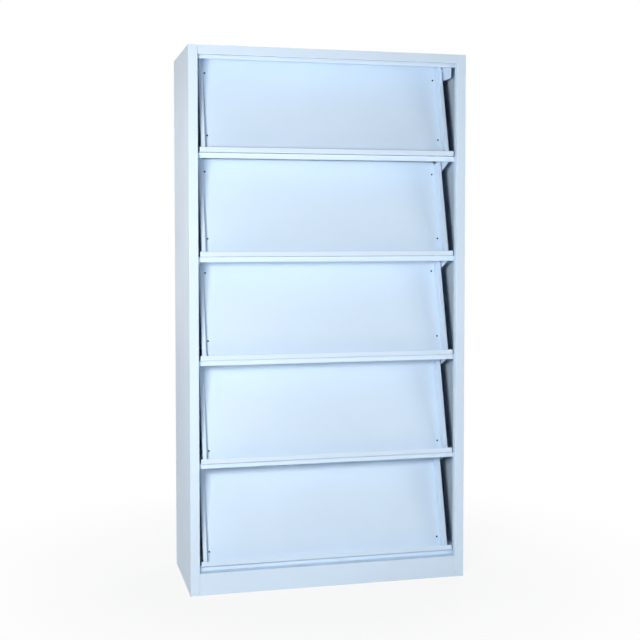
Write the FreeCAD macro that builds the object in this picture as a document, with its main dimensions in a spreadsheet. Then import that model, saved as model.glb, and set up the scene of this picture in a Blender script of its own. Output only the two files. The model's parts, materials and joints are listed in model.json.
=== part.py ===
"""Tall sheet-steel magazine display cabinet with five lift-up display flaps, in millimetres.

The origin is on the floor under the middle of the cabinet: X runs to the right, Y to the rear, Z up.
Each flap hangs on two pivot pins from plates under the shelf above and rests on its own shelf.
"""
import FreeCAD, Part
import os

import Sketcher

Vector = FreeCAD.Vector

EDGE_ROUND_SHARE = 0.8
SIDES = {"left": -1, "right": 1}

# Tiers from the top: form of the hangers, and the rows of the plate's screws
TIER_FORMS = [
    ("square", ("crown", "high")),
    ("tapered", ("top", "high")),
    ("tapered", ("top", "high")),
    ("tapered", ("low",)),
    ("tapered", ("low",)),
]
TIERS = len(TIER_FORMS)

# Driving dimensions: name, value, meaning
DRIVING_SIZES = [
    ("overall_width", 914, "outside width across the side panels"),
    ("overall_depth", 380, "outside depth, stile face to rear flange"),
    ("overall_height", 1730, "floor to the top of the roof"),
    ("sheet", 1, "thickness of the steel sheet"),
    ("bend", 1, "inside radius of a fold"),
    ("seam", 0.2, "gap at a butt joint between two sheets"),
    ("stile_width", 30, "front face of a side panel"),
    ("stile_return", 24, "return of the stile into the opening"),
    ("rear_flange", 20, "rear flange of a side panel"),
    ("fascia_height", 28, "front face of the roof panel"),
    ("fascia_return", 14, "return under the fascia"),
    ("roof_flange", 20, "rear flange of the roof panel"),
    ("plinth_height", 70, "height of the base rails"),
    ("plinth_return", 45, "top return of the base rails"),
    ("plinth_foot", 20, "bottom return of the base rails on the floor"),
    ("shelf_band", 17, "height of the shelf's front face"),
    ("shelf_hem", 8, "return under the shelf's front face"),
    ("shelf_clearance", 3, "shelf face behind the stile return"),
    ("head_band", 26, "height of the head plate's front face"),
    ("head_drop", 11, "head plate below the roof sheet"),
    ("rib_width", 40, "inside width of a shelf rib"),
    ("rib_height", 12, "depth of a shelf rib below the shelf"),
    ("rib_flange", 10, "weld flange of a shelf rib"),
    ("rib_end_gap", 60, "rib end to the side panel"),
    ("flap_tilt", 15.5, "lean of the closed flap from the vertical, in degrees"),
    ("pivot_depth", 118, "pivot axis behind the stile face"),
    ("pivot_drop", 32, "pivot axis below the shelf above"),
    ("head_pivot_drop", 23, "top pivot axis below the head plate"),
    ("arm_side_gap", 15, "flap arm to the stile's inner edge"),
    ("arm_depth", 16, "front to rear of a flap arm"),
    ("arm_strip", 13, "visible front strip of a flap arm"),
    ("arm_step", 32, "strip face to the screw flange behind the plate"),
    ("arm_flange", 27, "screw flange of a flap arm"),
    ("arm_head", 18.7, "flap arm above the pivot axis"),
    ("plate_head", 27.4, "display plate above the pivot axis"),
    ("plate_gap", 0.5, "display plate to the folds of the arms beside it"),
    ("plate_flange", 10, "rear flange along the plate's top"),
    ("foot_gap", 0.3, "plate and arms above the ledge"),
    ("lip_side_gap", 7, "lip end to the stile's inner edge"),
    ("lip_depth", 12, "lip face behind the stile face"),
    ("lip_height", 16.2, "lip from the underside of the ledge"),
    ("lip_hem", 6, "hem folded behind the lip's top edge"),
    ("lip_leg", 20, "rear leg of the lip rail behind the arms"),
    ("pad_thick", 0.6, "stop pad on the shelf"),
    ("pad_width", 6, "stop pad from front to rear"),
    ("pad_length", 24, "stop pad along the shelf"),
    ("pad_setback", 2.5, "stop pad behind the shelf's face"),
    ("pad_inset", 77, "stop pad's middle from the stile's inner edge"),
    ("rest_gap", 0.2, "closed flap above its stop pads"),
    ("hanger_gauge", 1.5, "thickness of a hanger plate"),
    ("hanger_side_gap", 9, "hanger's middle plane to the stile's inner edge"),
    ("hanger_clearance", 1, "hanger behind the shelf's hem"),
    ("hanger_tail", 37, "hanger behind the pivot axis"),
    ("hanger_flange", 15, "weld flange along a hanger's top"),
    ("hanger_nose", 9, "tapered hanger's front above the foot of the shelf's face"),
    ("hanger_heel", 42, "tapered hanger's rear below the foot of the shelf's face"),
    ("hanger_square_drop", 37, "square hanger below the pivot axis"),
    ("hanger_corner", 3, "corner radius of a hanger plate"),
    ("fit_clearance", 0.05, "radial clearance of pins, bushes and screws"),
    ("pin_radius", 4, "shank of a pivot pin"),
    ("pin_collar_radius", 5.5, "collar of a pivot pin inside the arm"),
    ("pin_collar", 3, "length of the pin's collar"),
    ("pin_head_radius", 6.5, "head of a pivot pin"),
    ("pin_head", 2, "height of the pin's head"),
    ("pin_play", 0.5, "end play between the pin's head and the bush"),
    ("bush_radius", 6, "outside of a bush in the hanger"),
    ("bush_flange_radius", 9, "flange of a bush"),
    ("bush_flange", 1.2, "thickness of the bush's flange"),
    ("bush_proud", 0.5, "bush beyond the hanger's outer face"),
    ("screw_radius", 1.95, "shank of a plate screw"),
    ("screw_length", 10, "screw behind the plate's face"),
    ("screw_head_radius", 3, "head of a plate screw"),
    ("screw_head", 1.2, "height of a screw head"),
    ("screw_inset", 10, "screw from the plate's side edge"),
    ("screw_crown", 29, "upper screws of the top flap below the pivot axis"),
    ("screw_top", 17, "upper screws of the next flaps below the pivot axis"),
    ("screw_high_rise", 57, "lower screws of the upper flaps above the plate's foot"),
    ("screw_low_rise", 31, "lower screws of the bottom flaps above the plate's foot"),
]

doc = FreeCAD.newDocument("magazine_display_cabinet")
sizes = doc.addObject("Spreadsheet::Sheet", "Sizes")
for row, (alias, size, meaning) in enumerate(DRIVING_SIZES, 1):
    sizes.set(f"A{row}", meaning)
    sizes.set(f"B{row}", str(size))
    sizes.setAlias(f"B{row}", alias)
doc.recompute()

# Places worked out from the driving dimensions, as expressions that the document's objects are bound to
SHEET = "Sizes.sheet"
OUTER_BEND = "(Sizes.bend + Sizes.sheet)"
EDGE_ROUND = f"(Sizes.sheet * {EDGE_ROUND_SHARE})"
HALF_WIDTH = "(Sizes.overall_width / 2)"
WALL_FACE = f"({HALF_WIDTH} - Sizes.sheet)"
OPENING = f"({HALF_WIDTH} - Sizes.stile_width)"
FRONT = "(-Sizes.overall_depth / 2)"
REAR = "(Sizes.overall_depth / 2)"
BACK_FACE = f"({REAR} - 2 * Sizes.sheet)"
SHELF_FACE = f"({FRONT} + Sizes.stile_return + Sizes.shelf_clearance)"
SHELF_DEPTH = f"({BACK_FACE} - {SHELF_FACE})"
SHELF_MIDDLE = f"(({BACK_FACE} + {SHELF_FACE}) / 2)"
BOTTOM_SHELF_TOP = "(Sizes.plinth_height + Sizes.shelf_band)"
HEAD_PLATE_TOP = "(Sizes.overall_height - Sizes.sheet - Sizes.head_drop)"
TIER_PITCH = (f"(({HEAD_PLATE_TOP} - Sizes.head_pivot_drop - {BOTTOM_SHELF_TOP} + Sizes.pivot_drop)"
              f" / {TIERS})")
PIVOT_HEIGHT = f"({TIER_PITCH} - Sizes.pivot_drop)"
PIVOT_Y = f"({FRONT} + Sizes.pivot_depth)"
ARM_FACE = f"({OPENING} - Sizes.arm_side_gap)"
ARM_HALF_DEPTH = "(Sizes.arm_depth / 2)"
STRIP_EDGE = f"({ARM_FACE} - Sizes.arm_strip)"
FLANGE_FRONT = f"({ARM_HALF_DEPTH} - Sizes.arm_step)"
FLANGE_BACK = f"(Sizes.sheet - {FLANGE_FRONT})"
PLATE_FRONT = f"({FLANGE_FRONT} + Sizes.sheet)"
PLATE_EDGE = f"({STRIP_EDGE} - Sizes.bend - Sizes.plate_gap)"
SCREW_X = f"({PLATE_EDGE} - Sizes.screw_inset)"
SCREW_HOLE = "(Sizes.screw_radius + Sizes.fit_clearance)"
PIN_HOLE = "(Sizes.pin_radius + Sizes.fit_clearance)"
HANGER_PLANE = f"({OPENING} - Sizes.hanger_side_gap)"
HANGER_FRONT = f"({SHELF_FACE} + Sizes.shelf_hem + Sizes.hanger_clearance - {PIVOT_Y})"
BUSH_END = f"({HANGER_PLANE} + Sizes.hanger_gauge / 2 + Sizes.bush_proud)"
TILT_SIN = "sin(Sizes.flap_tilt * 1deg)"
TILT_COS = "cos(Sizes.flap_tilt * 1deg)"
TILT_TAN = "tan(Sizes.flap_tilt * 1deg)"
LEDGE_DROP = f"({PIVOT_HEIGHT} - Sizes.pad_thick - Sizes.rest_gap)"
FOOT_DROP = f"({LEDGE_DROP} - Sizes.sheet - Sizes.foot_gap)"
PLATE_FOOT = f"(({FOOT_DROP} + {FLANGE_FRONT} * {TILT_SIN}) / {TILT_COS})"
ARM_FOOT = f"(({FOOT_DROP} - {FLANGE_BACK} * {TILT_SIN}) / {TILT_COS})"
SCREW_ROWS = {
    "crown": "-Sizes.screw_crown",
    "top": "-Sizes.screw_top",
    "high": f"Sizes.screw_high_rise - {PLATE_FOOT}",
    "low": f"Sizes.screw_low_rise - {PLATE_FOOT}",
}

nodes = []


def number(expression):
    """Present value of an expression of the sheet's sizes."""
    return float(sizes.evalExpression(expression))


def shelf_top(tier):
    """Height of the shelf under a tier, counted from the top one."""
    return f"({BOTTOM_SHELF_TOP} + {TIERS - tier} * {TIER_PITCH})"


def pivot_z(tier):
    """Height of a flap's pivot axis."""
    return f"({shelf_top(tier)} + {PIVOT_HEIGHT})"


def new_body(label, x=None, y=None, z=None, tilted=False):
    """Empty body for one node, placed by bound expressions and, for flap pieces, leaned back."""
    body = doc.addObject("PartDesign::Body", label)
    body.Label = label
    if tilted:
        lean = FreeCAD.Rotation(Vector(-1, 0, 0), number("Sizes.flap_tilt"))
        body.Placement = FreeCAD.Placement(Vector(), lean)
        body.setExpression("Placement.Rotation.Angle", "Sizes.flap_tilt * 1deg")
    for axis, place in (("x", x), ("y", y), ("z", z)):
        if place:
            body.setExpression(f"Placement.Base.{axis}", place)
    nodes.append(body)
    return body


def new_sketch(body, plane, offset=None):
    """Empty sketch on one of the body's own origin planes, moved along the plane's normal."""
    sketch = body.newObject("Sketcher::SketchObject", f"{body.Label}_sketch")
    support = [part for part in body.Origin.OriginFeatures if part.Role == f"{plane}_Plane"]
    sketch.AttachmentSupport = [(support[0], "")]
    sketch.MapMode = "FlatFace"
    if offset:
        sketch.setExpression("AttachmentOffset.Base.z", offset)
    return sketch


def bind(sketch, kind, geometry, point, expression):
    """Hold one coordinate of a sketch point at an expression's value."""
    rule = Sketcher.Constraint(kind, -1, 1, geometry, point, number(expression))
    sketch.setExpression(f"Constraints[{sketch.addConstraint(rule)}]", expression)


def draw_outline(sketch, outline):
    """Closed outline of straight lines, each corner held by its two expressions."""
    corners = [Vector(number(across), number(up), 0) for across, up in outline]
    first = sketch.GeometryCount
    count = len(corners)
    for index, corner in enumerate(corners):
        sketch.addGeometry(Part.LineSegment(corner, corners[(index + 1) % count]), False)
    for index, (across, up) in enumerate(outline):
        follower = first + (index + 1) % count
        sketch.addConstraint(Sketcher.Constraint("Coincident", first + index, 2, follower, 1))
        bind(sketch, "DistanceX", first + index, 1, across)
        bind(sketch, "DistanceY", first + index, 1, up)


def draw_circle(sketch, across, up, radius):
    """Circle with its centre and radius held by expressions."""
    centre = Vector(number(across), number(up), 0)
    index = sketch.addGeometry(Part.Circle(centre, Vector(0, 0, 1), number(radius)), False)
    rule = sketch.addConstraint(Sketcher.Constraint("Radius", index, number(radius)))
    sketch.setExpression(f"Constraints[{rule}]", radius)
    bind(sketch, "DistanceX", index, 3, across)
    bind(sketch, "DistanceY", index, 3, up)


def box_outline(low_across, low_up, high_across, high_up):
    """Rectangle between two corners."""
    return [(low_across, low_up), (high_across, low_up), (high_across, high_up), (low_across, high_up)]


def extrude(body, sketch, length, back_length=None, symmetric=False, reverse=False):
    """Pad a sketch along its normal, to both sides evenly, or by two lengths."""
    pad = body.newObject("PartDesign::Pad", f"{body.Label}_pad")
    pad.Profile = sketch
    pad.setExpression("Length", length)
    pad.Reversed = reverse
    if symmetric:
        pad.SideType = "Symmetric"
    if back_length:
        pad.SideType = "Two sides"
        pad.setExpression("Length2", back_length)
    doc.recompute()


def add_block(body, plane, outlines, length, back_length=None, offset=None):
    """Add straight-sided outlines to a body, evenly to both sides unless a second length is given."""
    sketch = new_sketch(body, plane, offset)
    for outline in outlines:
        draw_outline(sketch, outline)
    extrude(body, sketch, length, back_length, symmetric=back_length is None)


def drill(body, plane, holes, radius, depth=None, offset=None):
    """Round holes through a body, or only within a depth about the sketch plane."""
    before = body.Shape.Volume
    sketch = new_sketch(body, plane, offset)
    for across, up in holes:
        draw_circle(sketch, across, up, radius)
    pocket = body.newObject("PartDesign::Pocket", f"{body.Label}_holes")
    pocket.Profile = sketch
    pocket.SideType = "Symmetric"
    if depth:
        pocket.setExpression("Length", depth)
    else:
        pocket.Type = "ThroughAll"
    doc.recompute()
    if not body.Shape.Volume < before:
        raise RuntimeError(f"{body.Label}: the holes cut nothing")


def spin(body, outlines):
    """Turn outlines, drawn as length along X and radius, about the X axis."""
    sketch = new_sketch(body, "XY")
    for outline in outlines:
        draw_outline(sketch, outline)
    turned = body.newObject("PartDesign::Revolution", f"{body.Label}_turned")
    turned.Profile = sketch
    turned.ReferenceAxis = (sketch, ["H_Axis"])
    turned.Angle = 360
    doc.recompute()


def round_edges(body, plane, corners, radius):
    """Fillet the edges that run square to a plane through the given corners of its outline."""
    axes = {"XY": "xy", "XZ": "xz", "YZ": "yz"}[plane]
    places = [(number(across), number(up)) for across, up in corners]
    base = body.Tip
    chosen = []
    for index, edge in enumerate(base.Shape.Edges, 1):
        ends = [(getattr(vertex.Point, axes[0]), getattr(vertex.Point, axes[1])) for vertex in edge.Vertexes]
        for place in places:
            offsets = [abs(end[axis] - place[axis]) for end in ends for axis in (0, 1)]
            if len(ends) == 2 and max(offsets) < number(SHEET) / 1000:
                chosen.append(f"Edge{index}")
    if not chosen:
        raise RuntimeError(f"{body.Label}: no edge to round")
    fillet = body.newObject("PartDesign::Fillet", f"{body.Label}_round")
    fillet.Base = (base, chosen)
    fillet.setExpression("Radius", radius)
    doc.recompute()


def fold(path, left):
    """Outline of a folded sheet that follows a square-cornered path, and its outer and inner fold corners.

    The sheet lies to the left or to the right of the path as it is walked.
    """
    points = [(number(across), number(up)) for across, up in path]
    walks = []
    for start, end in zip(points, points[1:]):
        run = (end[0] - start[0], end[1] - start[1])
        length = max(abs(run[0]), abs(run[1]))
        walks.append((round(run[0] / length), round(run[1] / length)))
    turn = 1 if left else -1
    normals = [(-turn * walk[1], turn * walk[0]) for walk in walks]
    inner = []
    outside = []
    inside = []
    for index, (across, up) in enumerate(path):
        near = [normals[at] for at in (index - 1, index) if 0 <= at < len(normals)]
        shift_across = sum(normal[0] for normal in near)
        shift_up = sum(normal[1] for normal in near)
        inner.append((f"{across} + {shift_across} * {SHEET}", f"{up} + {shift_up} * {SHEET}"))
        if len(near) == 2:
            before, after = walks[index - 1], walks[index]
            turns_left = before[0] * after[1] - before[1] * after[0] > 0
            tight, wide = (inner[-1], path[index]) if turns_left == left else (path[index], inner[-1])
            outside.append(wide)
            inside.append(tight)
    return path + inner[::-1], outside, inside


def folded_sheet(body, plane, path, left, length, back_length=None, symmetric=True):
    """Folded sheet: a path given thickness, extruded, with round folds."""
    outline, outside, inside = fold(path, left)
    sketch = new_sketch(body, plane)
    draw_outline(sketch, outline)
    extrude(body, sketch, length, back_length, symmetric)
    round_edges(body, plane, outside, OUTER_BEND)
    round_edges(body, plane, inside, "Sizes.bend")


def side_panel(side):
    """Side wall with its front stile, the stile's return and a rear flange, as one folded sheet."""
    sign = SIDES[side]
    body = new_body(f"{side}_side_panel")
    path = [
        (f"{sign} * ({HALF_WIDTH} - Sizes.rear_flange)", REAR),
        (f"{sign} * {HALF_WIDTH}", REAR),
        (f"{sign} * {HALF_WIDTH}", FRONT),
        (f"{sign} * {OPENING}", FRONT),
        (f"{sign} * {OPENING}", f"{FRONT} + Sizes.stile_return"),
    ]
    folded_sheet(body, "XY", path, sign < 0, f"Sizes.overall_height - {SHEET}", symmetric=False)


def roof_panel():
    """Roof sheet over the side panels, with the fascia between the stiles and a rear flange."""
    body = new_body("top_panel", z=f"Sizes.overall_height - {SHEET}")
    fascia_foot = f"-(Sizes.fascia_height - {SHEET})"
    path = [(FRONT, "0"), (FRONT, fascia_foot), (f"{FRONT} + Sizes.fascia_return", fascia_foot)]
    folded_sheet(body, "YZ", path, True, f"2 * ({OPENING} - Sizes.seam)")
    add_block(body, "YZ", [box_outline(FRONT, "0", REAR, SHEET)], "Sizes.overall_width")
    rear_flange = box_outline(f"{REAR} - {SHEET}", "-Sizes.roof_flange", REAR, SHEET)
    add_block(body, "YZ", [rear_flange], f"2 * ({HALF_WIDTH} - Sizes.rear_flange - Sizes.seam)")
    round_edges(body, "YZ", [(FRONT, SHEET), (REAR, SHEET)], EDGE_ROUND)


def shelf_pan(label, top, band):
    """Shelf or head plate: a sheet with a hemmed front face, a rear flange and side flanges on the walls."""
    body = new_body(label, y=SHELF_MIDDLE, z=top)
    front = f"-{SHELF_DEPTH} / 2"
    rear = f"{SHELF_DEPTH} / 2"
    path = [
        (f"{front} + Sizes.shelf_hem", f"-{band}"),
        (front, f"-{band}"),
        (front, "0"),
        (rear, "0"),
        (rear, f"-{band}"),
    ]
    folded_sheet(body, "YZ", path, False, f"2 * {WALL_FACE}")
    flanges = []
    for sign in SIDES.values():
        inner_face = f"{sign} * ({WALL_FACE} - {SHEET})"
        flanges.append(box_outline(inner_face, f"-{band}", f"{sign} * {WALL_FACE}", f"-{SHEET} / 2"))
    add_block(body, "XZ", flanges, f"{SHELF_DEPTH} - 2 * Sizes.shelf_hem")


def shelf_ribs():
    """Hat-section ribs welded under the shelves."""
    body = new_body("shelf_ribs", y=SHELF_MIDDLE)
    outlines = []
    for tier in range(1, TIERS + 1):
        under = f"({shelf_top(tier)} - {SHEET})"
        reach = "(Sizes.rib_width / 2 + Sizes.rib_flange)"
        path = [
            (f"-{reach}", under),
            ("-Sizes.rib_width / 2", under),
            ("-Sizes.rib_width / 2", f"{under} - Sizes.rib_height"),
            ("Sizes.rib_width / 2", f"{under} - Sizes.rib_height"),
            ("Sizes.rib_width / 2", under),
            (reach, under),
        ]
        outlines.append(fold(path, False)[0])
    add_block(body, "YZ", outlines, f"2 * ({WALL_FACE} - Sizes.rib_end_gap)")


def back_sheet():
    """Flat back sheet inside the rear flanges."""
    body = new_body("back_panel", y=f"{REAR} - {SHEET} * 3 / 2")
    half = f"({WALL_FACE} - Sizes.bend - Sizes.seam)"
    outline = box_outline(f"-{half}", "Sizes.seam", half, f"Sizes.overall_height - {SHEET} - Sizes.seam")
    add_block(body, "XZ", [outline], SHEET)


def base_rails():
    """Front plinth between the stiles and rear plinth between the walls, under the bottom shelf."""
    for label, face, inward, half in (
            ("plinth_front", FRONT, 1, f"({OPENING} - Sizes.seam)"),
            ("plinth_rear", BACK_FACE, -1, WALL_FACE)):
        body = new_body(label)
        path = [
            (f"{face} + {inward} * Sizes.plinth_foot", "0"),
            (face, "0"),
            (face, "Sizes.plinth_height"),
            (f"{face} + {inward} * Sizes.plinth_return", "Sizes.plinth_height"),
        ]
        folded_sheet(body, "YZ", path, inward < 0, f"2 * {half}")


def stop_pads():
    """Rubber pads near the front edge of each shelf, under the ledges of the closed flaps."""
    body = new_body("stop_pads", y=f"{SHELF_FACE} + Sizes.pad_setback + Sizes.pad_width / 2")
    outlines = []
    for tier in range(1, TIERS + 1):
        for sign in SIDES.values():
            middle = f"{sign} * ({OPENING} - Sizes.pad_inset)"
            low = f"{middle} - Sizes.pad_length / 2"
            high = f"{middle} + Sizes.pad_length / 2"
            outlines.append(box_outline(low, shelf_top(tier), high, f"{shelf_top(tier)} + Sizes.pad_thick"))
    add_block(body, "XZ", outlines, "Sizes.pad_width")


def hanger(side, tier):
    """Pivot plate under the shelf above: square under the head plate, tapered under the shelves."""
    sign = SIDES[side]
    body = new_body(f"hanger_{side}_{tier}", x=f"{sign} * {HANGER_PLANE}", y=PIVOT_Y, z=pivot_z(tier))
    if TIER_FORMS[tier - 1][0] == "square":
        top = f"(Sizes.head_pivot_drop - {SHEET})"
        nose = "-Sizes.hanger_square_drop"
        heel = nose
    else:
        top = f"(Sizes.pivot_drop - {SHEET})"
        nose = "Sizes.pivot_drop - Sizes.shelf_band + Sizes.hanger_nose"
        heel = "Sizes.pivot_drop - Sizes.shelf_band - Sizes.hanger_heel"
    tail = "Sizes.hanger_tail"
    plate = [(HANGER_FRONT, top), (HANGER_FRONT, nose), (tail, heel), (tail, top)]
    add_block(body, "YZ", [plate], "Sizes.hanger_gauge")
    round_edges(body, "YZ", plate[1:3], "Sizes.hanger_corner")
    flange = box_outline("0", f"{top} - Sizes.hanger_gauge", f"{sign} * Sizes.hanger_flange", top)
    add_block(body, "XZ", [flange], f"-{HANGER_FRONT}", tail)
    drill(body, "YZ", [("0", "0")], "Sizes.bush_radius + Sizes.fit_clearance")


def pivot_bushes(tier):
    """Pair of flanged bushes in the hangers of one tier."""
    body = new_body(f"pivot_bushes_{tier}", y=PIVOT_Y, z=pivot_z(tier))
    hanger_face = f"({HANGER_PLANE} - Sizes.hanger_gauge / 2)"
    outlines = []
    for sign in SIDES.values():
        flange_face = f"{sign} * ({hanger_face} - Sizes.bush_flange)"
        outlines.append([
            (flange_face, PIN_HOLE),
            (flange_face, "Sizes.bush_flange_radius"),
            (f"{sign} * {hanger_face}", "Sizes.bush_flange_radius"),
            (f"{sign} * {hanger_face}", "Sizes.bush_radius"),
            (f"{sign} * {BUSH_END}", "Sizes.bush_radius"),
            (f"{sign} * {BUSH_END}", PIN_HOLE),
        ])
    spin(body, outlines)


def pivot_pins(tier):
    """Pair of headed pins: a collar inside the arm, a shank through arm and bush, a head outside."""
    body = new_body(f"pivot_pins_{tier}", y=PIVOT_Y, z=pivot_z(tier))
    arm_inside = f"({ARM_FACE} - {SHEET})"
    head_face = f"({BUSH_END} + Sizes.pin_play)"
    outlines = []
    for sign in SIDES.values():
        collar_end = f"{sign} * ({arm_inside} - Sizes.pin_collar)"
        head_end = f"{sign} * ({head_face} + Sizes.pin_head)"
        outlines.append([
            (collar_end, "0"),
            (collar_end, "Sizes.pin_collar_radius"),
            (f"{sign} * {arm_inside}", "Sizes.pin_collar_radius"),
            (f"{sign} * {arm_inside}", "Sizes.pin_radius"),
            (f"{sign} * {head_face}", "Sizes.pin_radius"),
            (f"{sign} * {head_face}", "Sizes.pin_head_radius"),
            (head_end, "Sizes.pin_head_radius"),
            (head_end, "0"),
        ])
    spin(body, outlines)


def screw_places(tier):
    """Heights of a flap's screw rows along the flap, from the pivot axis."""
    return [SCREW_ROWS[screw_row] for screw_row in TIER_FORMS[tier - 1][1]]


def flap_arm(side, tier):
    """Folded side arm of a flap: pivot wall, front strip, step and the screw flange behind the plate."""
    sign = SIDES[side]
    body = new_body(f"flap_arm_{side}_{tier}", y=PIVOT_Y, z=pivot_z(tier), tilted=True)
    path = [
        (f"{sign} * {ARM_FACE}", ARM_HALF_DEPTH),
        (f"{sign} * {ARM_FACE}", f"-{ARM_HALF_DEPTH}"),
        (f"{sign} * {STRIP_EDGE}", f"-{ARM_HALF_DEPTH}"),
        (f"{sign} * {STRIP_EDGE}", f"-{FLANGE_FRONT}"),
        (f"{sign} * ({STRIP_EDGE} - Sizes.arm_flange)", f"-{FLANGE_FRONT}"),
    ]
    folded_sheet(body, "XY", path, sign < 0, "Sizes.arm_head", ARM_FOOT, symmetric=False)
    drill(body, "YZ", [("0", "0")], PIN_HOLE, f"4 * {SHEET}", f"{sign} * {ARM_FACE}")
    holes = [(f"{sign} * {SCREW_X}", height) for height in screw_places(tier)]
    drill(body, "XZ", holes, SCREW_HOLE)


def flap_panel(tier):
    """Display plate between the arms, with a stiffening flange along its top."""
    body = new_body(f"flap_panel_{tier}", y=PIVOT_Y, z=pivot_z(tier), tilted=True)
    path = [
        (f"-{PLATE_FRONT}", f"-{PLATE_FOOT}"),
        (f"-{PLATE_FRONT}", "Sizes.plate_head"),
        (f"-{PLATE_FRONT} + Sizes.plate_flange", "Sizes.plate_head"),
    ]
    folded_sheet(body, "YZ", path, False, f"2 * {PLATE_EDGE}")
    holes = [(f"{sign} * {SCREW_X}", height) for sign in SIDES.values() for height in screw_places(tier)]
    drill(body, "XZ", holes, SCREW_HOLE)


def flap_screws(tier):
    """Plate screws of one flap: heads on the plate, shanks through the arm flanges."""
    body = new_body(f"flap_screws_{tier}", y=PIVOT_Y, z=pivot_z(tier), tilted=True)
    for radius, length, reverse in (
            ("Sizes.screw_head_radius", "Sizes.screw_head", False),
            ("Sizes.screw_radius", "Sizes.screw_length", True)):
        sketch = new_sketch(body, "XZ", PLATE_FRONT)
        for sign in SIDES.values():
            for height in screw_places(tier):
                draw_circle(sketch, f"{sign} * {SCREW_X}", height, radius)
        extrude(body, sketch, length, reverse=reverse)


def flap_lip(tier):
    """Lip rail: a hemmed upright lip, the ledge that magazines stand on and a leg behind the arms."""
    body = new_body(f"flap_lip_{tier}", y=PIVOT_Y, z=pivot_z(tier))
    face = f"({FRONT} + Sizes.lip_depth - {PIVOT_Y})"
    top = f"(Sizes.lip_height - {LEDGE_DROP})"
    hem_foot = f"({top} - Sizes.lip_hem)"
    leg_back = f"({FLANGE_FRONT} - 2 * {SHEET})"
    leg_front = f"({FLANGE_FRONT} - {SHEET})"
    heel = (f"(-{LEDGE_DROP} * {TILT_TAN} - {leg_back} / {TILT_COS})", f"-{LEDGE_DROP}")
    ledge = f"({LEDGE_DROP} - {SHEET})"
    crook = (f"(-{ledge} * {TILT_TAN} - {leg_front} / {TILT_COS})", f"-{ledge}")
    hem_back = f"{face} + 2 * {SHEET}"
    lip_outline = [
        (face, top),
        (face, f"-{LEDGE_DROP}"),
        heel,
        crook,
        (f"{face} + {SHEET}", f"-{ledge}"),
        (f"{face} + {SHEET}", hem_foot),
        (hem_back, hem_foot),
        (hem_back, top),
    ]
    add_block(body, "YZ", [lip_outline], f"2 * ({OPENING} - Sizes.lip_side_gap)")
    round_edges(body, "YZ", [lip_outline[0], lip_outline[7]], EDGE_ROUND)
    round_edges(body, "YZ", [lip_outline[1]], OUTER_BEND)
    round_edges(body, "YZ", [lip_outline[4]], "Sizes.bend")
    leg_tip = (f"{heel[0]} + Sizes.lip_leg * {TILT_SIN}", f"{heel[1]} + Sizes.lip_leg * {TILT_COS}")
    leg_brow = (f"{leg_tip[0]} - {SHEET} * {TILT_COS}", f"{leg_tip[1]} + {SHEET} * {TILT_SIN}")
    add_block(body, "YZ", [[heel, leg_tip, leg_brow, crook]], f"2 * {PLATE_EDGE}")


def build_cabinet():
    """Fixed carcass from the floor up."""
    for side in SIDES:
        side_panel(side)
    roof_panel()
    back_sheet()
    base_rails()
    shelf_pan("head_plate", HEAD_PLATE_TOP, "Sizes.head_band")
    for tier in range(1, TIERS):
        shelf_pan(f"shelf_{tier}", shelf_top(tier), "Sizes.shelf_band")
    shelf_pan("bottom_shelf", BOTTOM_SHELF_TOP, "Sizes.shelf_band")
    shelf_ribs()
    stop_pads()


def build_flap(tier):
    """One tier's hangers and bushes, and the flap that swings in them."""
    for side in SIDES:
        hanger(side, tier)
        flap_arm(side, tier)
    pivot_bushes(tier)
    pivot_pins(tier)
    flap_panel(tier)
    flap_screws(tier)
    flap_lip(tier)


def check_document():
    """Stop if an object failed or a node's shape isn't sound."""
    for item in doc.Objects:
        if "Invalid" in item.State or "Error" in item.State:
            raise RuntimeError(f"{item.Label}: {item.State}")
    for body in nodes:
        if body.Shape.isNull() or not body.Shape.isValid():
            raise RuntimeError(f"{body.Label}: no sound shape")


def write_nodes():
    """One file for each node, named by its label."""
    os.makedirs("parts", exist_ok=True)
    for body in nodes:
        body.Shape.exportStep(f"parts/{body.Label}.step")
        box = body.Shape.BoundBox
        print(f"{body.Label}: {len(body.Shape.Solids)} solids, {body.Shape.Volume:.0f} mm3,"
              f" z {box.ZMin:.1f} to {box.ZMax:.1f}")


build_cabinet()
for tier_number in range(1, TIERS + 1):
    build_flap(tier_number)
doc.recompute()
check_document()
write_nodes()
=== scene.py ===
"""Looks of a tall sheet-steel magazine display cabinet with five lift-up flaps: paint, screws, pivots and studio.

The sheet-metal pieces keep the frame's meshes and get powder-coat materials. The plate screws are rebuilt with
cross recesses. All lengths are in metres in the frame's axes: X to the right, Y to the rear, Z up.
"""
import json
import math
from collections import namedtuple

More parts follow.
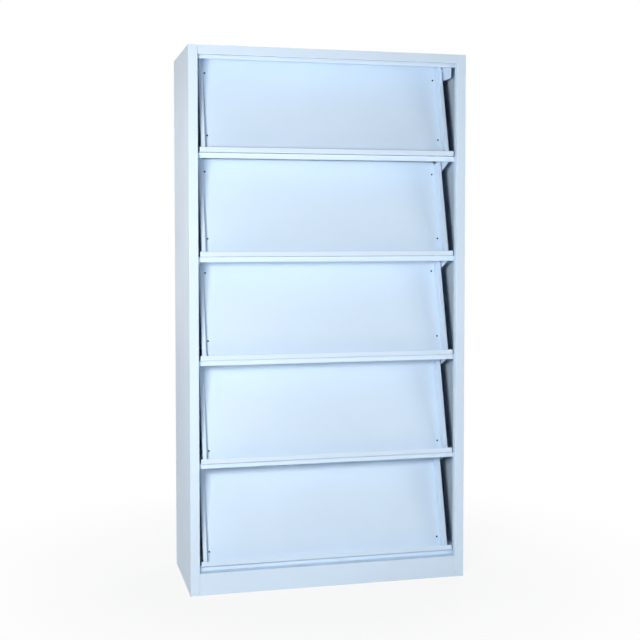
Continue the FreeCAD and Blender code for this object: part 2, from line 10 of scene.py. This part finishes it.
import bpy
import numpy as np
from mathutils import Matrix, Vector


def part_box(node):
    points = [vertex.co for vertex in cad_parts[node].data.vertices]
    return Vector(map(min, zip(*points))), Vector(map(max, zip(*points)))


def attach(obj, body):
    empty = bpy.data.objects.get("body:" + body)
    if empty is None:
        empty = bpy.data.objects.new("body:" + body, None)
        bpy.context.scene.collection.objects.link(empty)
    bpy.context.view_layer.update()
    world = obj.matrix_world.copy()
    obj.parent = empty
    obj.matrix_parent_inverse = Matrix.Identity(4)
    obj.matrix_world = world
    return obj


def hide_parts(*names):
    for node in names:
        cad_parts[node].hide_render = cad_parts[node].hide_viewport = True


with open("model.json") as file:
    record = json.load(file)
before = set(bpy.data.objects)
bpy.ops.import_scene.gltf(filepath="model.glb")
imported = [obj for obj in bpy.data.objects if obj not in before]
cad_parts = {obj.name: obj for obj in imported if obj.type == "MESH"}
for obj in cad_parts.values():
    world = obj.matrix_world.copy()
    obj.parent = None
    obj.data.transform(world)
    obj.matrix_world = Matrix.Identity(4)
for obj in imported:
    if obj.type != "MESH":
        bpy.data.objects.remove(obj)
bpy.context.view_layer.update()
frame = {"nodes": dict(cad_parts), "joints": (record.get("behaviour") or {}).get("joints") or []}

bl_info = {
    "name": "Magazine display cabinet",
    "version": (1, 0, 0),
    "blender": (4, 5, 0),
    "location": "3D View > Sidebar > Cabinet",
    "description": "Paints and finishes a five-tier steel magazine display cabinet and lights it in a studio",
    "category": "Object",
}

TIERS = (1, 2, 3, 4, 5)
PIVOTS = {joint["child"]: Vector(joint["pos_m"]) for joint in frame["joints"]}
CARCASS_NODES = [
    "left_side_panel", "right_side_panel", "top_panel", "head_plate", "back_panel", "plinth_front", "plinth_rear",
    "bottom_shelf", "shelf_1", "shelf_2", "shelf_3", "shelf_4", "shelf_ribs",
] + [f"hanger_{side}_{tier}" for tier in TIERS for side in ("left", "right")]

# Studio lamps: place, the point aimed at, side of the square face, power in watts
Lamp = namedtuple("Lamp", "place target side power")
LAMPS = {
    "key_lamp": Lamp((-1.26, -2.6, 1.24), (-0.1, -0.19, 1.05), 0.5, 59),
    "left_lamp": Lamp((-4.0, -0.4, 1.0), (-0.46, 0, 0.85), 1.2, 16),
    "right_lamp": Lamp((3.2, -2.8, 1.5), (0.4, 0, 0.9), 1.6, 34),
    "rear_left_lamp": Lamp((-2.4, 3.4, 1.3), (0, 0.2, 0.8), 1.8, 24),
    "rear_right_lamp": Lamp((2.6, 3.0, 1.6), (0, 0.2, 0.9), 1.8, 75),
    "top_lamp": Lamp((0.2, 0.7, 4.2), (0, 0.1, 1.73), 1.6, 36),
}
SENSOR_WIDTH_MM = 36
AMBIENT_TINT = (0.97, 0.985, 1, 1)

# Studio floor: cells along a side, its own colour, and the distances between which it turns from nearly to fully white
FLOOR_CELLS = 8
FLOOR_GREY = (0.7, 0.7, 0.7, 1)
FLOOR_NEAR, FLOOR_FAR = 0.45, 1.5
FLOOR_NEAR_WHITENESS = 0.87

# Noise patterns of the finishes, in features per metre
NOISE = {
    "clouds": 2.4, "specks": 420, "dust": 30, "sheen": 6.5, "chips": 260, "rubs": 7,
    "pin_marks": 900, "screw_marks": 1400, "stains": 190,
    "nylon_mottle": 130, "nylon_grain": 1500, "rubber_bloom": 240, "rubber_grain": 1900,
}
# Heights of the bumps in the finishes
BUMP_HEIGHT = {"peel": 0.00006, "marks": 0.00004, "nylon_grain": 0.00003, "rubber_grain": 0.00005}
DUST_COLOUR = (0.62, 0.62, 0.6)
BLOOM_COLOUR = (0.09, 0.09, 0.095)

# Rubbed places: bands below the top of a lip and above the floor, each from its faint to its full end
LIP_RUB_FAINT, LIP_RUB_FULL = 0.0045, 0.0015
FOOT_RUB_FAINT, FOOT_RUB_FULL = 0.012, 0.003

# Form of a plate screw: rings of its surface, then shares of the head's radius, then shares of the thread's radius
DOME_RINGS, SHANK_RINGS = 22, 64
DOME_START, SEAT_INNER = 0.06, 0.8
RECESS_HALF_WIDTH, RECESS_WALL = 0.13, 0.025
RECESS_REACH, RECESS_END = 0.55, 0.03
THREAD_MEAN, THREAD_RISE = 0.9, 0.1
TIP_TAPER, TIP_SHARE = 9, 0.35
# Turn of a screw about its axis, in radians: the first one, and what each further screw and tier adds
TURN_FIRST, TURN_PER_SCREW, TURN_PER_TIER = 0.35, 1.1, 0.6

# Sockets of the Mix node in its colour mode, whose names are shared with its other modes
MIX_FACTOR, MIX_FIRST, MIX_SECOND, MIX_RESULT = 0, 6, 7, 2


class CabinetFinish(bpy.types.PropertyGroup):
    """Colours and surface sizes of the cabinet's finishes."""

    paint: bpy.props.FloatVectorProperty(
        name="Paint", description="Powder coat of all sheet pieces", subtype="COLOR", size=3, min=0, max=1,
        default=(0.68, 0.815, 0.955))
    paint_roughness: bpy.props.FloatProperty(
        name="Paint roughness", description="Middle roughness of the powder coat", subtype="FACTOR", min=0, max=1,
        default=0.42)
    peel_size: bpy.props.FloatProperty(
        name="Peel size", description="Spacing of the fine ripples in the powder coat", unit="LENGTH", default=0.0016)
    bare_steel: bpy.props.FloatVectorProperty(
        name="Bare steel", description="Metal where the paint is rubbed through", subtype="COLOR", size=3, min=0,
        max=1, default=(0.33, 0.34, 0.36))
    screw_steel: bpy.props.FloatVectorProperty(
        name="Screw steel", description="Dark plated steel of the plate screws", subtype="COLOR", size=3, min=0,
        max=1, default=(0.03, 0.032, 0.036))
    pin_steel: bpy.props.FloatVectorProperty(
        name="Pin steel", description="Zinc-plated steel of the pivot pins", subtype="COLOR", size=3, min=0, max=1,
        default=(0.55, 0.56, 0.58))
    nylon: bpy.props.FloatVectorProperty(
        name="Bush nylon", description="Natural nylon of the pivot bushes", subtype="COLOR", size=3, min=0, max=1,
        default=(0.74, 0.75, 0.75))
    rubber: bpy.props.FloatVectorProperty(
        name="Pad rubber", description="Rubber of the stop pads", subtype="COLOR", size=3, min=0, max=1,
        default=(0.025, 0.025, 0.028))


class CabinetScrews(bpy.types.PropertyGroup):
    """Sizes of the plate screws; their seats come from the frame."""

    tilt: bpy.props.FloatProperty(
        name="Flap lean", description="Lean of a closed flap from the vertical", subtype="ANGLE",
        default=math.radians(15.5))
    head_radius: bpy.props.FloatProperty(
        name="Head radius", description="Radius of the pan head", unit="LENGTH", default=0.003)
    head_height: bpy.props.FloatProperty(
        name="Head height", description="Height of the pan head", unit="LENGTH", default=0.0012)
    shank_radius: bpy.props.FloatProperty(
        name="Shank radius", description="Radius over the thread", unit="LENGTH", default=0.00195)
    shank_length: bpy.props.FloatProperty(
        name="Shank length", description="Screw behind the plate's face", unit="LENGTH", default=0.01)
    thread_pitch: bpy.props.FloatProperty(
        name="Thread pitch", description="Distance between thread ridges", unit="LENGTH", default=0.0007)
    recess_depth: bpy.props.FloatProperty(
        name="Recess depth", description="Depth of the cross recess", unit="LENGTH", default=0.0007)


class CabinetStudio(bpy.types.PropertyGroup):
    """Camera, lamps and floor."""

    focal: bpy.props.FloatProperty(
        name="Focal length", description="Lens for a 36 mm wide frame", default=64.19)
    yaw: bpy.props.FloatProperty(
        name="Camera yaw", description="Turn of the camera to the right", subtype="ANGLE",
        default=math.radians(13.84))
    tilt: bpy.props.FloatProperty(
        name="Camera tilt", description="Turn of the camera below the level", subtype="ANGLE",
        default=math.radians(2.54))
    camera_place: bpy.props.FloatVectorProperty(
        name="Camera place", description="Camera position", subtype="TRANSLATION", unit="LENGTH", size=3,
        default=(-0.911, -3.739, 1.153))
    shift: bpy.props.FloatProperty(
        name="Vertical shift", description="Lens shift that keeps the uprights nearly parallel", default=-0.06)
    lamp_level: bpy.props.FloatProperty(
        name="Lamp level", description="Share of their full power that all lamps give", default=1)
    ambient: bpy.props.FloatProperty(
        name="Ambient", description="Even light from all round", default=0.03)
    floor_size: bpy.props.FloatProperty(
        name="Floor size", description="Side of the square floor", unit="LENGTH", default=14)


def new_material(name):
    """New material with only an output and a Principled shader, its node tree and that shader."""
    material = bpy.data.materials.new(name)
    material.use_nodes = True
    tree = material.node_tree
    tree.nodes.clear()
    output = tree.nodes.new("ShaderNodeOutputMaterial")
    shader = tree.nodes.new("ShaderNodeBsdfPrincipled")
    tree.links.new(shader.outputs["BSDF"], output.inputs["Surface"])
    return material, tree, shader


def object_noise(tree, scale, detail=2.0, roughness=0.5, stretch=None):
    """Noise on Object coordinates, its scale in features per metre, drawn out along an axis if asked."""
    place = tree.nodes.new("ShaderNodeTexCoord").outputs["Object"]
    if stretch:
        mapping = tree.nodes.new("ShaderNodeMapping")
        mapping.inputs["Scale"].default_value = stretch
        tree.links.new(place, mapping.inputs["Vector"])
        place = mapping.outputs["Vector"]
    noise = tree.nodes.new("ShaderNodeTexNoise")
    noise.inputs["Scale"].default_value = scale
    noise.inputs["Detail"].default_value = detail
    noise.inputs["Roughness"].default_value = roughness
    tree.links.new(place, noise.inputs["Vector"])
    return noise.outputs["Fac"]


def spread(tree, value, low, high, to_low, to_high, smooth=False):
    """Map a value's range to another range, held at the ends."""
    node = tree.nodes.new("ShaderNodeMapRange")
    node.interpolation_type = "SMOOTHSTEP" if smooth else "LINEAR"
    for socket, number in (("From Min", low), ("From Max", high), ("To Min", to_low), ("To Max", to_high)):
        node.inputs[socket].default_value = number
    tree.links.new(value, node.inputs["Value"])
    return node.outputs["Result"]


def combine(tree, operation, first, second):
    """Math on two values, each a socket or a number."""
    node = tree.nodes.new("ShaderNodeMath")
    node.operation = operation
    for index, value in enumerate((first, second)):
        if isinstance(value, (int, float)):
            node.inputs[index].default_value = value
        else:
            tree.links.new(value, node.inputs[index])
    return node.outputs["Value"]


def blend_colours(tree, factor, first, second):
    """Mix two colours, each a socket or three numbers, by a factor socket."""
    node = tree.nodes.new("ShaderNodeMix")
    node.data_type = "RGBA"
    tree.links.new(factor, node.inputs[MIX_FACTOR])
    for index, colour in ((MIX_FIRST, first), (MIX_SECOND, second)):
        if isinstance(colour, bpy.types.NodeSocket):
            tree.links.new(colour, node.inputs[index])
        else:
            node.inputs[index].default_value = (*colour, 1)
    return node.outputs[MIX_RESULT]


def add_bump(tree, shader, height, distance, strength):
    """Bump of a height pattern on the shader's normal."""
    bump = tree.nodes.new("ShaderNodeBump")
    bump.inputs["Strength"].default_value = strength
    bump.inputs["Distance"].default_value = distance
    tree.links.new(height, bump.inputs["Height"])
    tree.links.new(bump.outputs["Normal"], shader.inputs["Normal"])


def facing_up(tree):
    """How far a surface faces upwards, 0 below half way and 1 when level."""
    geometry = tree.nodes.new("ShaderNodeNewGeometry")
    parts = tree.nodes.new("ShaderNodeSeparateXYZ")
    tree.links.new(geometry.outputs["Normal"], parts.inputs["Vector"])
    return spread(tree, parts.outputs["Z"], 0.6, 0.98, 0, 1, smooth=True)


def height_above_floor(tree):
    """Z of the surface point in the frame."""
    parts = tree.nodes.new("ShaderNodeSeparateXYZ")
    tree.links.new(tree.nodes.new("ShaderNodeTexCoord").outputs["Object"], parts.inputs["Vector"])
    return parts.outputs["Z"]


def powder_coat(name, finish, handled=None):
    """Satin powder coat: rippled fine surface, slight clouds of tone, dust on level tops, rubs on handled edges.

    handled adds small rubbed-through specks where a socket made from the tree says the paint is touched most.
    """
    material, tree, shader = new_material(name)
    paint = Vector(finish.paint)
    cloud = spread(tree, object_noise(tree, NOISE["clouds"], 3), 0.3, 0.7, 0, 1, smooth=True)
    colour = blend_colours(tree, cloud, paint * 0.975, paint * 1.015)
    speck = spread(tree, object_noise(tree, NOISE["specks"], 1), 0.68, 0.74, 0, 0.25)
    colour = blend_colours(tree, speck, colour, paint * 0.9)
    dust_cover = spread(tree, object_noise(tree, NOISE["dust"], 4), 0.35, 0.75, 0.02, 0.16)
    dust = combine(tree, "MULTIPLY", facing_up(tree), dust_cover)
    colour = blend_colours(tree, dust, colour, DUST_COLOUR)
    rough = spread(tree, object_noise(tree, NOISE["sheen"], 4), 0.3, 0.7, finish.paint_roughness - 0.05,
                   finish.paint_roughness + 0.06)
    rough = combine(tree, "ADD", rough, combine(tree, "MULTIPLY", dust, 0.8))
    if handled:
        chips = spread(tree, object_noise(tree, NOISE["chips"], 3), 0.62, 0.68, 0, 1)
        patches = spread(tree, object_noise(tree, NOISE["rubs"], 2), 0.58, 0.7, 0, 0.6)
        rubbed = combine(tree, "MULTIPLY", combine(tree, "MULTIPLY", handled(tree), chips), patches)
        colour = blend_colours(tree, rubbed, colour, finish.bare_steel)
        tree.links.new(combine(tree, "MULTIPLY", rubbed, 0.8), shader.inputs["Metallic"])
    tree.links.new(colour, shader.inputs["Base Color"])
    tree.links.new(rough, shader.inputs["Roughness"])
    shader.inputs["Specular IOR Level"].default_value = 0.2
    add_bump(tree, shader, object_noise(tree, 1 / finish.peel_size, 2), BUMP_HEIGHT["peel"], 0.35)
    return material


def plated_steel(name, colour, mark_scale, roughness):
    """Plated steel with fine turning marks drawn out across the axis and slight stains."""
    material, tree, shader = new_material(name)
    marks = object_noise(tree, mark_scale, 3, 0.6, stretch=(6, 1, 1))
    stain = spread(tree, object_noise(tree, NOISE["stains"], 3), 0.35, 0.7, 0, 1, smooth=True)
    base = Vector(colour)
    tree.links.new(blend_colours(tree, stain, base * 0.8, base * 1.12), shader.inputs["Base Color"])
    tree.links.new(spread(tree, marks, 0.3, 0.7, roughness - 0.07, roughness + 0.09), shader.inputs["Roughness"])
    shader.inputs["Metallic"].default_value = 1
    add_bump(tree, shader, marks, BUMP_HEIGHT["marks"], 0.4)
    return material


def moulded_nylon(finish):
    """Natural nylon: faintly mottled, matt, with fine mould texture."""
    material, tree, shader = new_material("bush_nylon")
    mottle = spread(tree, object_noise(tree, NOISE["nylon_mottle"], 3), 0.3, 0.7, 0, 1)
    base = Vector(finish.nylon)
    tree.links.new(blend_colours(tree, mottle, base * 0.94, base), shader.inputs["Base Color"])
    shader.inputs["Roughness"].default_value = 0.5
    shader.inputs["Subsurface Weight"].default_value = 0.05
    add_bump(tree, shader, object_noise(tree, NOISE["nylon_grain"], 2), BUMP_HEIGHT["nylon_grain"], 0.3)
    return material


def pad_rubber(finish):
    """Matt black rubber with greyish bloom and a grained face."""
    material, tree, shader = new_material("pad_rubber")
    bloom = spread(tree, object_noise(tree, NOISE["rubber_bloom"], 4), 0.4, 0.75, 0, 0.5)
    tree.links.new(blend_colours(tree, bloom, finish.rubber, BLOOM_COLOUR), shader.inputs["Base Color"])
    shader.inputs["Roughness"].default_value = 0.78
    add_bump(tree, shader, object_noise(tree, NOISE["rubber_grain"], 2), BUMP_HEIGHT["rubber_grain"], 0.5)
    return material


def dress(nodes, material):
    """Give frame nodes a material in their own slots."""
    for node in nodes:
        piece = frame["nodes"].get(node)
        if piece is None:
            raise RuntimeError(f"the frame has no node {node}")
        if not piece.material_slots:
            piece.data.materials.append(material)
        for holder in piece.material_slots:
            holder.material = material


def lip_edges(tree):
    """Near 1 along the top edges of the lips, where hands lift the flaps, on every tier."""
    pitch = PIVOTS["flap_1"].z - PIVOTS["flap_2"].z
    lip_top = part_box("flap_lip_5")[1][2]
    above = combine(tree, "SUBTRACT", height_above_floor(tree), lip_top - pitch / 2)
    in_tier = combine(tree, "MODULO", above, pitch)
    return spread(tree, in_tier, pitch / 2 - LIP_RUB_FAINT, pitch / 2 - LIP_RUB_FULL, 0, 1, smooth=True)


def kicked_foot(tree):
    """Grows to 1 towards the floor, where shoes and mops rub the base."""
    return spread(tree, height_above_floor(tree), FOOT_RUB_FULL, FOOT_RUB_FAINT, 1, 0, smooth=True)


def joined_rings(rings, segments):
    """Faces of a surface of stacked rings with one vertex at each end, as index arrays of quads and end fans."""
    around = np.arange(segments)
    after = (around + 1) % segments
    row = 1 + np.arange(rings - 1)[:, None] * segments
    below = row + segments
    quads = np.stack([row + around, row + after, below + after, below + around], -1).reshape(-1, 4)
    last = 1 + (rings - 1) * segments
    start = np.stack([np.zeros(segments, int), after + 1, around + 1], -1)
    end = np.stack([np.full(segments, last + segments), last + around, last + after], -1)
    return quads, start, end


def screw_surface(screws, segments=48):
    """One screw about +Z, seated at z = 0: a surface of rings from the head's middle round to the shank's tip.

    Head: height times the fourth-power dome, less a cross recess that is deep where either arm's distance from the
    axis is small and fades out along the arm. Shank: a thread radius that rises and falls with length and angle.
    """
    radius, height = screws.head_radius, screws.head_height
    dome = np.linspace(DOME_START, 1, DOME_RINGS)
    seat = np.array([1.0, SEAT_INNER])
    shank = np.linspace(0, 1, SHANK_RINGS)
    angle = np.linspace(0, 2 * np.pi, segments, endpoint=False)[None, :]
    dome_r = radius * dome[:, None] * np.ones_like(angle)
    across, along = np.abs(dome_r * np.cos(angle)), np.abs(dome_r * np.sin(angle))
    narrow, wide = np.minimum(across, along), np.maximum(across, along)
    walls = 1 / (1 + np.exp((narrow - RECESS_HALF_WIDTH * radius) / (RECESS_WALL * radius)))
    ends = 1 / (1 + np.exp((wide - RECESS_REACH * radius) / (RECESS_END * radius)))
    dome_z = height * np.sqrt(np.clip(1 - dome[:, None] ** 4, 0, 1)) - screws.recess_depth * walls * ends
    seat_r = radius * seat[:, None] * np.ones_like(angle)
    seat_z = np.zeros_like(seat_r)
    depth = -screws.shank_length * shank[:, None]
    thread = np.cos(2 * np.pi * (depth / screws.thread_pitch + angle / (2 * np.pi)))
    taper = np.clip((1 - shank[:, None]) * TIP_TAPER, TIP_SHARE, 1)
    shank_r = screws.shank_radius * (THREAD_MEAN + THREAD_RISE * thread) * taper
    shank_z = depth * np.ones_like(angle)
    ring_r = np.concatenate([dome_r, seat_r, shank_r])
    ring_z = np.concatenate([dome_z, seat_z, shank_z])
    body = np.stack([ring_r * np.cos(angle), ring_r * np.sin(angle), ring_z], -1).reshape(-1, 3)
    middle = [[0, 0, height - screws.recess_depth]]
    tip = [[0, 0, -screws.shank_length]]
    return np.concatenate([middle, body, tip]), joined_rings(len(ring_r), segments)


def mesh_piece(name, vertices, faces, material):
    """New mesh object from arrays, smooth, at the origin."""
    mesh = bpy.data.meshes.new(name)
    mesh.from_pydata(vertices.tolist(), [], faces)
    mesh.validate()
    mesh.polygons.foreach_set("use_smooth", np.ones(len(mesh.polygons), bool))
    mesh.materials.append(material)
    mesh.update()
    piece = bpy.data.objects.new(name, mesh)
    bpy.context.scene.collection.objects.link(piece)
    return piece


def plate_axes(screws):
    """Directions across, up along and out from a closed flap's plate, as the rows of a matrix."""
    lean_sin, lean_cos = math.sin(screws.tilt), math.cos(screws.tilt)
    return np.array([[1, 0, 0], [0, lean_sin, lean_cos], [0, -lean_cos, lean_sin]])


def screw_seats(tier, screws):
    """Seats of one flap's screws: the middles of the frame's screws, in the plane where their heads begin.

    A side's vertices, measured up along the plate from the pivot, part into rows at each gap wider than two heads.
    """
    mesh = frame["nodes"][f"flap_screws_{tier}"].data
    points = np.empty(len(mesh.vertices) * 3)
    mesh.vertices.foreach_get("co", points)
    axes = plate_axes(screws)
    pivot = np.array(PIVOTS[f"flap_{tier}"])
    across, up, out = axes @ (points.reshape(-1, 3) - pivot).T
    face = out.max() - screws.head_height
    seats = []
    for on_side in (across < 0, across > 0):
        middle = (across[on_side].min() + across[on_side].max()) / 2
        heights = np.sort(up[on_side])
        breaks = np.flatnonzero(np.diff(heights) > 4 * screws.head_radius) + 1
        seats += [(middle, (row[0] + row[-1]) / 2, face) for row in np.split(heights, breaks)]
    return pivot + np.array(seats) @ axes


def flap_screws(tier, screws, material):
    """The screws of one flap: one screw surface, turned about its axis and moved to each seat on the plate."""
    across, up, out = plate_axes(screws)
    shape, (quads, start, end) = screw_surface(screws)
    vertices, faces = [], []
    for number, seat in enumerate(screw_seats(tier, screws)):
        turn = TURN_FIRST + TURN_PER_SCREW * number + TURN_PER_TIER * tier
        turned_x = shape[:, 0] * math.cos(turn) - shape[:, 1] * math.sin(turn)
        turned_y = shape[:, 0] * math.sin(turn) + shape[:, 1] * math.cos(turn)
        vertices.append(seat + turned_x[:, None] * across + turned_y[:, None] * up + shape[:, 2:3] * out)
        offset = number * len(shape)
        faces += (quads + offset).tolist() + (start + offset).tolist() + (end + offset).tolist()
    return mesh_piece(f"plate_screws_{tier}", np.concatenate(vertices), faces, material)


class CABINET_OT_carcass(bpy.types.Operator):
    """Powder coat on the fixed sheet pieces"""

    bl_idname = "cabinet.carcass"
    bl_label = "Paint the carcass"

    def execute(self, context):
        finish = context.scene.cabinet_finish
        dress(CARCASS_NODES, powder_coat("carcass_paint", finish, kicked_foot))
        return {"FINISHED"}


class CABINET_OT_flaps(bpy.types.Operator):
    """Powder coat on the display plates, arms and lips"""

    bl_idname = "cabinet.flaps"
    bl_label = "Paint the flaps"

    def execute(self, context):
        finish = context.scene.cabinet_finish
        plain = [f"{piece}_{tier}" for tier in TIERS for piece in ("flap_panel", "flap_arm_left", "flap_arm_right")]
        dress(plain, powder_coat("flap_paint", finish))
        dress([f"flap_lip_{tier}" for tier in TIERS], powder_coat("lip_paint", finish, lip_edges))
        return {"FINISHED"}


class CABINET_OT_pivots(bpy.types.Operator):
    """Steel, nylon and rubber on the pivot pins, bushes and stop pads"""

    bl_idname = "cabinet.pivots"
    bl_label = "Finish the pivots"

    def execute(self, context):
        finish = context.scene.cabinet_finish
        zinc = plated_steel("pin_steel", finish.pin_steel, NOISE["pin_marks"], 0.36)
        dress([f"pivot_pins_{tier}" for tier in TIERS], zinc)
        dress([f"pivot_bushes_{tier}" for tier in TIERS], moulded_nylon(finish))
        dress(["stop_pads"], pad_rubber(finish))
        return {"FINISHED"}


class CABINET_OT_screws(bpy.types.Operator):
    """Cross-recessed screws in place of the plain ones"""

    bl_idname = "cabinet.screws"
    bl_label = "Make the plate screws"

    def execute(self, context):
        finish = context.scene.cabinet_finish
        steel = plated_steel("screw_steel", finish.screw_steel, NOISE["screw_marks"], 0.55)
        for tier in TIERS:
            piece = flap_screws(tier, context.scene.cabinet_screws, steel)
            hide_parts(f"flap_screws_{tier}")
            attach(piece, f"flap_{tier}")
        return {"FINISHED"}


def studio_floor(size):
    """Square floor as a two-parameter grid, whiter to the eye with distance and keeping a soft shadow."""
    row = FLOOR_CELLS + 1
    steps = np.linspace(-size / 2, size / 2, row)
    across, along = np.meshgrid(steps, steps)
    vertices = np.stack([across.ravel(), along.ravel(), np.zeros(across.size)], -1)
    cell = (np.arange(FLOOR_CELLS)[:, None] * row + np.arange(FLOOR_CELLS)).ravel()
    faces = np.stack([cell, cell + 1, cell + row + 1, cell + row], -1).tolist()
    material, tree, shader = new_material("studio_floor")
    shader.inputs["Base Color"].default_value = FLOOR_GREY
    shader.inputs["Roughness"].default_value = 0.9
    white = tree.nodes.new("ShaderNodeEmission")
    mix = tree.nodes.new("ShaderNodeMixShader")
    distance = tree.nodes.new("ShaderNodeVectorMath")
    distance.operation = "LENGTH"
    tree.links.new(tree.nodes.new("ShaderNodeTexCoord").outputs["Object"], distance.inputs[0])
    whiteness = spread(tree, distance.outputs["Value"], FLOOR_NEAR, FLOOR_FAR, FLOOR_NEAR_WHITENESS, 1, smooth=True)
    tree.links.new(combine(tree, "MULTIPLY", seen_ray(tree), whiteness), mix.inputs["Fac"])
    tree.links.new(shader.outputs["BSDF"], mix.inputs[1])
    tree.links.new(white.outputs["Emission"], mix.inputs[2])
    output = next(node for node in tree.nodes if node.type == "OUTPUT_MATERIAL")
    tree.links.new(mix.outputs["Shader"], output.inputs["Surface"])
    return mesh_piece("studio_floor", vertices, faces, material)


def seen_ray(tree):
    """1 for rays that show the background: camera, glossy and transmission rays."""
    path = tree.nodes.new("ShaderNodeLightPath")
    seen = combine(tree, "MAXIMUM", path.outputs["Is Camera Ray"], path.outputs["Is Glossy Ray"])
    return combine(tree, "MAXIMUM", seen, path.outputs["Is Transmission Ray"])


def studio_world(scene, ambient):
    """Even ambient light, shown as white to the eye."""
    world = bpy.data.worlds.new("studio_world")
    world.use_nodes = True
    tree = world.node_tree
    tree.nodes.clear()
    output = tree.nodes.new("ShaderNodeOutputWorld")
    light = tree.nodes.new("ShaderNodeBackground")
    white = tree.nodes.new("ShaderNodeBackground")
    mix = tree.nodes.new("ShaderNodeMixShader")
    light.inputs["Color"].default_value = AMBIENT_TINT
    light.inputs["Strength"].default_value = ambient
    tree.links.new(seen_ray(tree), mix.inputs["Fac"])
    tree.links.new(light.outputs["Background"], mix.inputs[1])
    tree.links.new(white.outputs["Background"], mix.inputs[2])
    white.inputs["Color"].default_value = (1, 1, 1, 1)
    tree.links.new(mix.outputs["Shader"], output.inputs["Surface"])
    scene.world = world


def soft_lamp(name, lamp, level):
    """Square area lamp aimed at its target."""
    data = bpy.data.lights.new(name, "AREA")
    data.size = lamp.side
    data.energy = lamp.power * level
    piece = bpy.data.objects.new(name, data)
    piece.location = lamp.place
    piece.visible_camera = False
    piece.rotation_euler = (Vector(lamp.target) - Vector(lamp.place)).to_track_quat("-Z", "Y").to_euler()
    bpy.context.scene.collection.objects.link(piece)


class CABINET_OT_studio(bpy.types.Operator):
    """Floor, lamps, world and the camera at the photograph's viewing angle"""

    bl_idname = "cabinet.studio"
    bl_label = "Set up the studio"

    def execute(self, context):
        scene = context.scene
        studio = scene.cabinet_studio
        studio_floor(studio.floor_size)
        studio_world(scene, studio.ambient)
        for name, lamp in LAMPS.items():
            soft_lamp(name, lamp, studio.lamp_level)
        data = bpy.data.cameras.new("studio_camera")
        data.lens = studio.focal
        data.sensor_width = SENSOR_WIDTH_MM
        data.shift_y = studio.shift
        camera = bpy.data.objects.new("studio_camera", data)
        camera.location = studio.camera_place
        camera.rotation_euler = (math.pi / 2 - studio.tilt, 0, -studio.yaw)
        scene.collection.objects.link(camera)
        scene.camera = camera
        scene.view_settings.view_transform = "Standard"
        return {"FINISHED"}


class CABINET_PT_panel(bpy.types.Panel):
    """Sizes, colours and steps of the cabinet"""

    bl_idname = "CABINET_PT_panel"
    bl_label = "Magazine display cabinet"
    bl_space_type = "VIEW_3D"
    bl_region_type = "UI"
    bl_category = "Cabinet"

    def draw(self, context):
        for group in (context.scene.cabinet_finish, context.scene.cabinet_screws, context.scene.cabinet_studio):
            box = self.layout.box()
            for name in group.__annotations__:
                box.prop(group, name)
        for step in STEPS:
            self.layout.operator(step.bl_idname)


STEPS = (CABINET_OT_carcass, CABINET_OT_flaps, CABINET_OT_pivots, CABINET_OT_screws, CABINET_OT_studio)
GROUPS = {"cabinet_finish": CabinetFinish, "cabinet_screws": CabinetScrews, "cabinet_studio": CabinetStudio}


def register():
    """Register the classes and hang the property groups on the scene."""
    for kind in (*GROUPS.values(), *STEPS, CABINET_PT_panel):
        bpy.utils.register_class(kind)
    for name, kind in GROUPS.items():
        setattr(bpy.types.Scene, name, bpy.props.PointerProperty(type=kind))


def unregister():
    """Take the property groups off the scene and unregister the classes."""
    for name in GROUPS:
        delattr(bpy.types.Scene, name)
    for kind in (CABINET_PT_panel, *reversed(STEPS), *GROUPS.values()):
        bpy.utils.unregister_class(kind)


def main():
    """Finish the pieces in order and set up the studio."""
    register()
    bpy.ops.cabinet.carcass()
    bpy.ops.cabinet.flaps()
    bpy.ops.cabinet.pivots()
    bpy.ops.cabinet.screws()
    bpy.ops.cabinet.studio()


if __name__ == "__main__":
    main()
